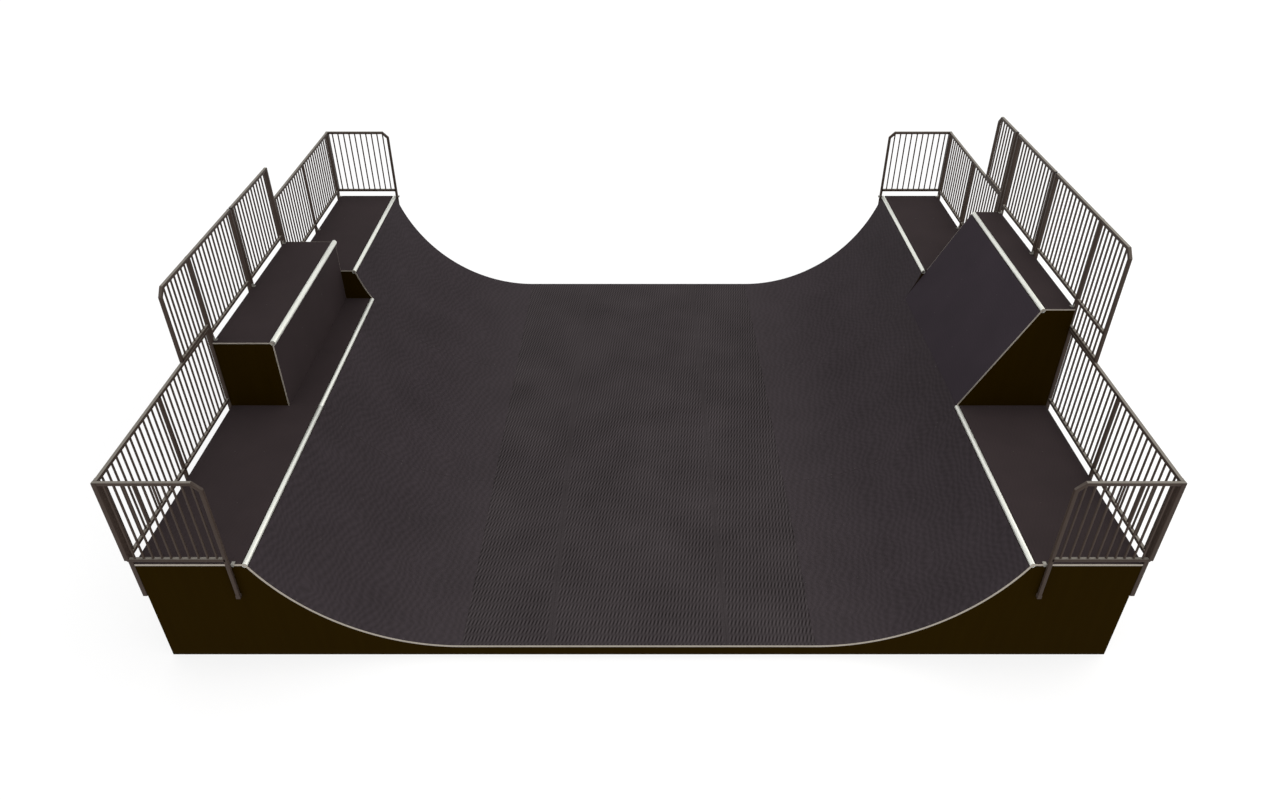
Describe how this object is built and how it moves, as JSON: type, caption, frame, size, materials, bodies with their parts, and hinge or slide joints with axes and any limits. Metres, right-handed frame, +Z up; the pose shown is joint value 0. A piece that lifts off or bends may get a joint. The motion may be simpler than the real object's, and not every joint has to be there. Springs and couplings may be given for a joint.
{
  "type": "skateboard mini ramp",
  "caption": "Modular skateboard mini ramp: facing quarter pipes, flat bottom, grind box, bank extension, decks, copings and guard rails.",
  "frame": {"origin": "on the ground at the centre of the footprint", "axes": "+X from the left to the right quarter pipe along the riding direction, +Y from the front to the higher rear section, +Z up"},
  "size_m": [11.25, 9.26, 4.2],
  "materials": {
    "riding_board": "phenolic-faced birch plywood with a pressed anti-slip pattern",
    "brown_panel": "smooth dark brown film-faced plywood",
    "coping_steel": "galvanised round tube",
    "edge_metal": "dull flat strip",
    "frame_timber": "sawn treated softwood and plywood ribs",
    "rail_steel": "dark satin coating on galvanised square tube"
  },
  "bodies": {
    "root": {"bank_sheet": "riding_board", "box_panel_front": "brown_panel", "box_panel_rear": "brown_panel", "box_rail_front": "rail_steel", "box_rail_rear": "rail_steel", "box_top": "riding_board", "box_wall": "riding_board", "coping_box": "coping_steel", "coping_extension": "coping_steel", "coping_left": "coping_steel", "coping_left_rear": "coping_steel", "coping_right_front": "coping_steel", "coping_right_rear": "coping_steel", "curved_sheet_left_front": "riding_board", "curved_sheet_left_middle": "riding_board", "curved_sheet_left_rear": "riding_board", "curved_sheet_right_front": "riding_board", "curved_sheet_right_middle": "riding_board", "curved_sheet_right_rear": "riding_board", "deck_left_front": "riding_board", "deck_left_middle": "riding_board", "deck_left_rear": "riding_board", "deck_right_front": "riding_board", "deck_right_rear": "riding_board", "edge_strip_box": "edge_metal", "edge_strip_extension": "edge_metal", "edge_strip_front": "edge_metal", "edge_strip_step": "edge_metal", "end_rail_front_left": "rail_steel", "end_rail_front_right": "rail_steel", "end_rail_rear_left": "rail_steel", "end_rail_rear_right": "rail_steel", "extension_deck": "riding_board", "extension_panel_front": "brown_panel", "extension_panel_rear": "brown_panel", "extension_rail_front": "rail_steel", "extension_rail_middle": "rail_steel", "extension_rail_rear": "rail_steel", "flat_sheet_front": "riding_board", "flat_sheet_middle": "riding_board", "flat_sheet_rear": "riding_board", "frame_box": "frame_timber", "frame_extension": "frame_timber", "frame_flat": "frame_timber", "frame_left": "frame_timber", "frame_right": "frame_timber", "front_fascia": "brown_panel", "front_panel_left": "brown_panel", "front_panel_right": "brown_panel", "outer_panel_left": "brown_panel", "outer_panel_right": "brown_panel", "rear_fascia": "brown_panel", "rear_panel_left": "brown_panel", "rear_panel_right": "brown_panel", "side_rail_front_left": "rail_steel", "side_rail_front_right": "rail_steel", "side_rail_rear_left": "rail_steel", "side_rail_rear_right": "rail_steel", "step_panel_left": "brown_panel", "step_panel_right": "brown_panel"}
  },
  "joints": []
}
